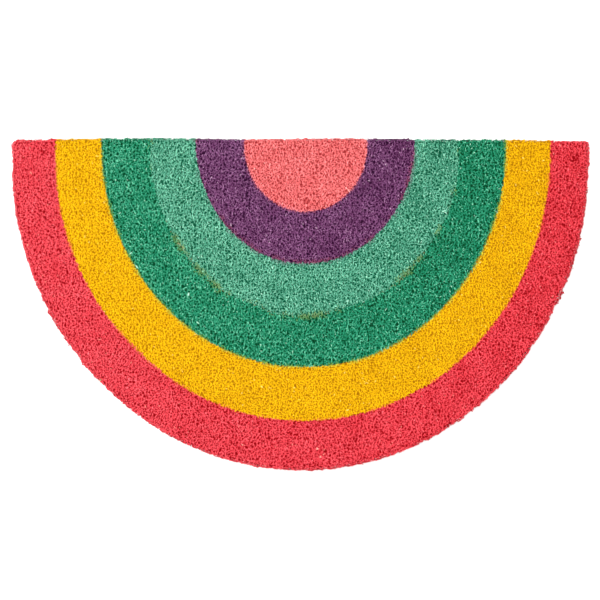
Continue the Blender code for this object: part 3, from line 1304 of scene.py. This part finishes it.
@dataclass
class Pile:
    """The fibre ends over the top of the mat: short bent tips all over, and longer ones lying over them.

    Sinks are the least and most that tips lie below the surface, and lifts are added to the fibres' tones.
    """

    surface: MatSurface
    rainbow: Print
    pits: Pits
    rng: np.random.Generator
    tip_pitch: tuple[float, float] = (1.15 * MM, 1.31 * MM)
    tip_sink: tuple[float, float] = (0.0, 0.6 * MM)
    tip_lift: float = 0.06
    curl_pitch: tuple[float, float] = (4.5 * MM, 3.9 * MM)
    curl_sink: tuple[float, float] = (-0.2 * MM, 0.2 * MM)
    curl_lift: float = 0.05
    jitter: float = 0.42
    crown_low: float = 9.0 * MM
    foot_up: float = 0.2
    lean: tuple[float, float] = (0.05, 0.3)
    lean_off_pits: float = 0.25
    clump_length: float = 5.5 * MM
    clump_half_turns: float = 0.35
    bend_spread: float = 0.45
    swirl_outwards: float = 0.3
    sizes: tuple[float, float] = (0.8, 1.2)
    # Painted shade and light: deeper-sunk tips and tips near a pit are darker, and a ring of tips round
    # each pit is paler.
    sink_shade: float = 0.22
    pit_shade: float = 0.5
    pit_shade_reach: float = 1.0 * MM
    ring_light: float = 0.35
    ring_off: float = 1.7 * MM
    ring_width: float = 0.7 * MM
    split_over: int = 190_000

    TIPS = (
        FibreShape.bent((3.0, 0.6, 0.62, 14)),
        FibreShape.bent((2.7, 0.5, 0.49, 65), tip=(3.1, 2.4)),
        FibreShape.bent((2.6, 0.6, 0.45, 70), tip=(3.0, 3.0)),
    )
    CURLS = (
        FibreShape.bent((1.9, 0.3, 0.38, 25), (3.0, 1.6, 0.36, 70), tip=(3.2, 3.8)),
        FibreShape.bent((2.0, 0.4, 0.38, 30), (3.2, 1.2, 0.38, 60), tip=(3.5, 2.7)),
    )
    STRAYS = {
        Stray.FLECK: FibreShape.bent((3.2, 0.2, 1.15, 6)),
        Stray.STREAK: FibreShape.bent((2.9, 0.4, 0.50, 55), (3.3, 2.4, 0.55, 85), tip=(3.4, 4.8)),
    }

    def _marked(self, marks: tuple[Mark, ...]) -> Stand:
        """Sets stray fibres that the photo shows.

        Args:
            marks: The fibres.

        Returns:
            The stand.
        """
        places = [(mark.x * MM + PLAN_X, mark.y * MM + PLAN_Y) for mark in marks]
        tips = np.array([self.surface.above(*place)[0] for place in places])
        stems = np.tile(UP, (len(marks), 1))
        bends = headings(np.radians([mark.heading for mark in marks]))
        sizes = np.array([mark.size for mark in marks])
        looks = np.array([mark.look for mark in marks])
        return Stand(tips, stems, bends, sizes, looks, self.rainbow.dyes(tips), self.foot_up)

    def _field(self, pitch: tuple[float, float]) -> tuple[Array, Array]:
        """Scatters places over the whole top.

        Args:
            pitch: How far apart they lie along X and Y.

        Returns:
            The points and the surface's normals there.
        """
        column_pitch, row_pitch = pitch
        low, high = self.surface.low, self.surface.high
        points, normals = [], []
        for row in range(int((high.y - low.y) / row_pitch) + 1):
            for column in range(int((high.x - low.x) / column_pitch) + 1):
                push = self.rng.uniform(-self.jitter, self.jitter, 2)
                x = low.x + (column + 0.5 * (row % 2) + push[0]) * column_pitch
                met = self.surface.above(x, low.y + (row + push[1]) * row_pitch)
                if met and met[0].z > self.crown_low:
                    points.append(met[0])
                    normals.append(met[1])
        return np.array(points), np.array(normals)

    def _bends(self, points: Array, normals: Array, away: Array, clear: Array) -> Array:
        """Bends fibres to either side in clumps, round a pit near them, and never over the rim.

        Args:
            points: Rows of points.
            normals: The surface's normals there.
            away: The level ways out of the nearest pits.
            clear: How far outside those pits the points lie.

        Returns:
            The ways that the fibres bend.
        """
        count = len(points)
        clump = wander(points, self.clump_length, Field.CLUMP) * self.clump_half_turns * math.pi
        either_way = math.pi * (self.rng.integers(0, 2, count) + 0.5)
        bend = headings(either_way + clump + self.rng.normal(0.0, self.bend_spread, count))
        round_it = np.cross(away, UP) * np.sign(dots(np.cross(away, UP), bend))
        swirl = clamped(1.0 - clear / self.pits.swirl_reach)[:, None]
        bend = unit(bend * (1.0 - swirl) + (round_it + self.swirl_outwards * away) * swirl)
        outward = normals * LEVEL
        return bend - outward * np.maximum(dots(bend, outward), 0.0)

    def _stand(self, pitch: tuple[float, float], sink: tuple[float, float], lift: float) -> Stand:
        """Sets fibres over the top.

        Args:
            pitch: How far apart they stand along X and Y.
            sink: The least and most that a tip lies below the surface.
            lift: What to add to the fibres' tones.

        Returns:
            The stand.
        """
        points, normals = self._field(pitch)
        away, off, radius = self.pits.near(points)
        kept = off > radius
        points, normals, away, off, radius = (part[kept] for part in (points, normals, away, off, radius))
        clear = off - radius
        count = len(points)
        any_way = headings(self.rng.uniform(0, 2 * math.pi, count))
        lean = any_way * self.rng.uniform(*self.lean, (count, 1))
        stem = unit(normals + lean + self.lean_off_pits * away)
        bend = self._bends(points, normals, away, clear)
        size = self.rng.uniform(*self.sizes, count)
        depth = self.rng.uniform(*sink, count)
        # Painted shade for deeper tips and tips near a pit, and a painted pale ring round each pit, go into
        # the tone.
        shade = clamped(1.0 - clear / self.pit_shade_reach)
        ring = np.exp(-(((clear - self.ring_off) / self.ring_width) ** 2))
        tone = lift - self.sink_shade * (depth - sink[0]) / (sink[1] - sink[0])
        tone -= self.pit_shade * shade * radius / self.pits.widest
        tone += self.ring_light * ring * radius / self.pits.widest
        dyes = self.rainbow.dyes(points)
        looks = self.rainbow.looks(points, dyes, tone)
        return Stand(points - UP * depth[:, None], stem, bend, size, looks, dyes, self.foot_up)

    def build(self, materials: dict[Dye, bpy.types.Material]) -> list[bpy.types.Object]:
        """Builds the pile, one or two pieces to a dye.

        Args:
            materials: The dyes' materials.

        Returns:
            The pieces.
        """
        tips = self._stand(self.tip_pitch, self.tip_sink, self.tip_lift)
        curls = self._stand(self.curl_pitch, self.curl_sink, self.curl_lift)
        groups = []
        for shapes, stand in ((self.TIPS, tips), (self.CURLS, curls)):
            groups += dealt([shape.model() for shape in shapes], stand, self.rng)
        for kind, shape in self.STRAYS.items():
            groups.append((shape.model(), self._marked(MARKS[kind])))
        pieces = []
        for number, dye in enumerate(DYES):
            pieces += self._pieces_of(dye, dyed(groups, number), materials[dye])
        return pieces

    def _pieces_of(self, dye: Dye, groups: Groups, material: bpy.types.Material) -> list[bpy.types.Object]:
        """Builds one piece for a dye, or a left and a right one where it would be too heavy.

        Args:
            dye: The dye.
            groups: Each fibre shape with the stand of its copies.
            material: The dye's material.

        Returns:
            The pieces.
        """
        triangles = sum(len(fibre.triangles) * len(stand.size) for fibre, stand in groups)
        if triangles < self.split_over:
            return [FibrePiece(f"pile_{dye.value}", dye, material).build(groups)]
        made = []
        for side, sign in (("left", -1.0), ("right", 1.0)):
            part = [(fibre, stand.where(stand.tip[:, 0] * sign > 0.0)) for fibre, stand in groups]
            made.append(FibrePiece(f"pile_{dye.value}_{side}", dye, material).build(part))
        return made


@dataclass(frozen=True)
class EdgeRow:
    """One row of fibres round the cut edge, in millimetres: how high and how far in their tips lie."""

    height: float
    inset: float
    height_spread: float
    inset_spread: float
    pitch: float


# Tufts that stand out of the rim: four broad swells, then single tufts that the photo shows.
RIM_TUFTS = bulges(
    MM,
    (17.0, 12.0, 1.9),
    (55.0, 25.0, 0.7),
    (100.0, 25.0, 0.6),
    (146.0, 7.0, 1.4),
    (25.4, 1.2, 2.2),
    (34.0, 0.6, 1.0),
    (38.5, 1.0, 0.9),
    (153.6, 0.7, 1.3),
    (150.5, 0.6, 0.8),
    (175.2, 0.8, 1.2),
    (172.0, 0.6, 0.9),
)


@dataclass
class CutEdge:
    """The fibres that show in the mat's cut edge, standing up the wall from the backing to the crown."""

    surface: MatSurface
    rainbow: Print
    rng: np.random.Generator
    foot_up: float = 0.02
    foot_height: float = 1.2 * MM
    splay: float = 0.12
    sideways: float = 0.12
    # Painted shade: the edge's fibres are made darker in tone, for the shaded side of the mat.
    lift: float = -0.25
    roughness: float = 2.2 * MM
    rough_length: float = 3.6 * MM
    wave_length: float = 12.0 * MM
    shift_share: tuple[float, float] = (0.2, 1.0)
    bend_outwards: tuple[float, float] = (-0.8, 0.3)
    sizes: tuple[float, float] = (0.85, 1.05)
    wall_top: float = 10.5 * MM
    reach_out: float = 20.0 * MM

    ROWS = (
        EdgeRow(13.6, 0.5, 0.7, 0.8, 1.0),
        EdgeRow(12.6, 0.2, 1.0, 0.7, 1.1),
        EdgeRow(14.2, 1.2, 0.5, 0.6, 1.1),
        EdgeRow(9.5, 0.4, 1.6, 0.5, 1.3),
    )
    SHAPES = (
        FibreShape.bent((3.0, 0.1, 0.50, 0), (8.5, 0.5, 0.60, 6), tip=(12.2, 1.0)),
        FibreShape.bent((3.4, -0.3, 0.52, 0), (8.0, 0.2, 0.62, 10), tip=(11.6, 1.7)),
    )

    def _outline(self, pitch: float) -> list[PlaceAndWay]:
        """Walks all round the mat's plan.

        Args:
            pitch: How far apart the stops lie.

        Returns:
            Starts beside the mat, each with the level way in.
        """
        middle_x = OUTER.centre_x + PLAN_X
        starts = []
        for x in np.arange(-OUTER.half_width, OUTER.half_width, pitch):
            starts.append((Vector((middle_x + x, PLAN_Y + self.reach_out, 0.0)), Vector((0.0, -1.0, 0.0))))
        for y in np.arange(0.0, OUTER.leg, pitch):
            for side in (-1.0, 1.0):
                start = Vector((middle_x + side * (OUTER.half_width + self.reach_out), PLAN_Y - y, 0.0))
                starts.append((start, Vector((-side, 0.0, 0.0))))
        steps = int(math.pi * math.sqrt((OUTER.half_width**2 + OUTER.depth**2) / 2) / pitch)
        for step in range(steps):
            angle = math.pi * (1.0 + (step + 0.5) / steps)
            rim = Vector((OUTER.half_width * math.cos(angle), OUTER.depth * math.sin(angle), 0.0))
            way_out = Vector((rim.x / OUTER.half_width**2, rim.y / OUTER.depth**2, 0.0)).normalized()
            start = rim + Vector((middle_x, PLAN_Y - OUTER.leg, 0.0)) + way_out * self.reach_out
            starts.append((start, -way_out))
        return starts

    def _tips(self, row: EdgeRow) -> tuple[Array, Array]:
        """Finds the places of a row's tips against the wall.

        Args:
            row: The row.

        Returns:
            The places and the level ways out of the mat.
        """
        tips, outs = [], []
        for start, inward in self._outline(row.pitch * MM):
            along = Vector((-inward.y, inward.x, 0.0))
            height = row.height * MM + self.rng.uniform(-1.0, 1.0) * (row.height_spread * MM)
            begin = start + along * self.rng.uniform(-0.5, 0.5) * (row.pitch * MM)
            begin.z = min(height, self.wall_top)
            met = self.surface.met(begin, inward)
            if met:
                depth = row.inset * MM + self.rng.uniform(-1.0, 1.0) * (row.inset_spread * MM)
                tip = met[0] + inward * depth
                tip.z = height
                tips.append(tip)
                outs.append(-inward)
        return np.array(tips), np.array(outs)

    def _stand(self, row: EdgeRow) -> Stand:
        """Sets one row of fibres round the edge.

        Args:
            row: The row.

        Returns:
            The stand.
        """
        tips, outs = self._tips(row)
        count = len(tips)
        sideways = np.cross(outs, UP)
        bearing = OUTER.bearing(*self.rainbow.plan(tips))
        rough = wander(tips, self.rough_length, Field.ROUGH_EDGE)
        rough += 0.5 * wander(tips, self.wave_length, Field.WAVY_EDGE)
        shift = self.roughness * rough + strays(RIM_TUFTS, bearing)
        tips += outs * (shift * self.rng.uniform(*self.shift_share, count))[:, None]
        aside = sideways * self.rng.normal(0.0, self.sideways, (count, 1))
        stem = unit(UP + outs * self.splay + aside)
        bend_out = outs * self.rng.uniform(*self.bend_outwards, (count, 1))
        bend = unit(bend_out + sideways * self.rng.normal(0, 1, (count, 1)))
        tallest = (tips[:, 2] - self.foot_height) / self.SHAPES[0].tip_height
        size = np.minimum(self.rng.uniform(*self.sizes, count), tallest)
        dyes = self.rainbow.dyes(tips)
        looks = self.rainbow.looks(tips, dyes, self.lift)
        return Stand(tips, stem, bend, size, looks, dyes, self.foot_up)

    def build(self, materials: dict[Dye, bpy.types.Material]) -> list[bpy.types.Object]:
        """Builds the edge's fibres, one piece to a dye.

        Args:
            materials: The dyes' materials.

        Returns:
            The pieces.
        """
        fibres = [shape.model() for shape in self.SHAPES]
        groups = []
        for row in self.ROWS:
            groups += dealt(fibres, self._stand(row), self.rng)
        return [
            FibrePiece(f"edge_{dye.value}", dye, materials[dye]).build(dyed(groups, number))
            for number, dye in enumerate(DYES)
        ]


@dataclass
class Studio:
    """A plain pale floor, soft light and a camera straight above, as the photo shows the mat."""

    lens: float = 100.0
    sensor: float = 36.0
    view_width: float = 729.5 * MM
    view_x: float = 0.5 * MM + PLAN_X
    view_y: float = -195.3 * MM + PLAN_Y
    sky_light: float = 1.28
    key_light: float = 3.0
    key_spread: float = math.radians(35)
    key_tilt: tuple[float, float] = (math.radians(-14), math.radians(-16))
    floor_size: float = 12.0
    floor_colour: Colour = (0.93, 0.93, 0.93, 1.0)
    floor_roughness: float = 0.9

    def build(self, top: float) -> None:
        """Makes the camera, the light and the floor.

        Args:
            top: The height of the mat's top, which the camera frames.
        """
        self._camera(top)
        self._light()
        self._floor()
        bpy.context.scene.view_settings.view_transform = "Standard"

    def _camera(self, top: float) -> None:
        """Looks straight down on the mat.

        Args:
            top: The height of the mat's top.
        """
        data = bpy.data.cameras.new("camera")
        data.lens = self.lens
        data.sensor_width = self.sensor
        camera = linked("camera", data)
        camera.location = (self.view_x, self.view_y, top + self.view_width * self.lens / self.sensor)
        bpy.context.scene.camera = camera

    def _light(self) -> None:
        """A pale sky all round and a wide key light from above."""
        world = bpy.data.worlds.new("studio")
        world.use_nodes = True
        sky = world.node_tree.nodes["Background"]
        sky.inputs["Color"].default_value = (1.0, 1.0, 1.0, 1.0)
        sky.inputs["Strength"].default_value = self.sky_light
        bpy.context.scene.world = world
        data = bpy.data.lights.new("key", "SUN")
        data.energy = self.key_light
        data.angle = self.key_spread
        linked("key", data).rotation_euler = (self.key_tilt[0], self.key_tilt[1], 0.0)

    def _floor(self) -> None:
        """A plain white floor."""
        Bench.clear()
        bpy.ops.mesh.primitive_plane_add(size=self.floor_size, location=(0.0, 0.0, 0.0))
        floor = bpy.context.object
        floor.name = "floor"
        finish = {"Base Color": self.floor_colour, "Roughness": self.floor_roughness}
        floor.data.materials.append(ShaderGraph("floor_white").finished(finish))


def report(pieces: list[bpy.types.Object]) -> None:
    """Reports each piece's triangles and the whole object's.

    Args:
        pieces: The finished pieces.
    """
    total = 0
    for piece in pieces:
        count = sum(len(face.vertices) - 2 for face in piece.data.polygons)
        total += count
        log.info("%s: %d triangles", piece.name, count)
    log.info("in all: %d triangles", total)


def main() -> None:
    """Builds the mat's pieces in order, then the studio."""
    rng = np.random.default_rng(SEED)
    surface = MatSurface()
    materials = {dye: FINISHES[dye].material(f"coir_{dye.value}") for dye in DYES}
    rainbow = Print(rng)
    body = MatBody()
    mat = body.build()
    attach(mat, BODY)
    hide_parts(NODE)
    pile = Pile(surface, rainbow, Pits(rng), rng).build(materials)
    edge = CutEdge(surface, rainbow, rng).build(materials)
    report([mat, *pile, *edge])
    Studio().build(surface.high.z)


if __name__ == "__main__":
    main()
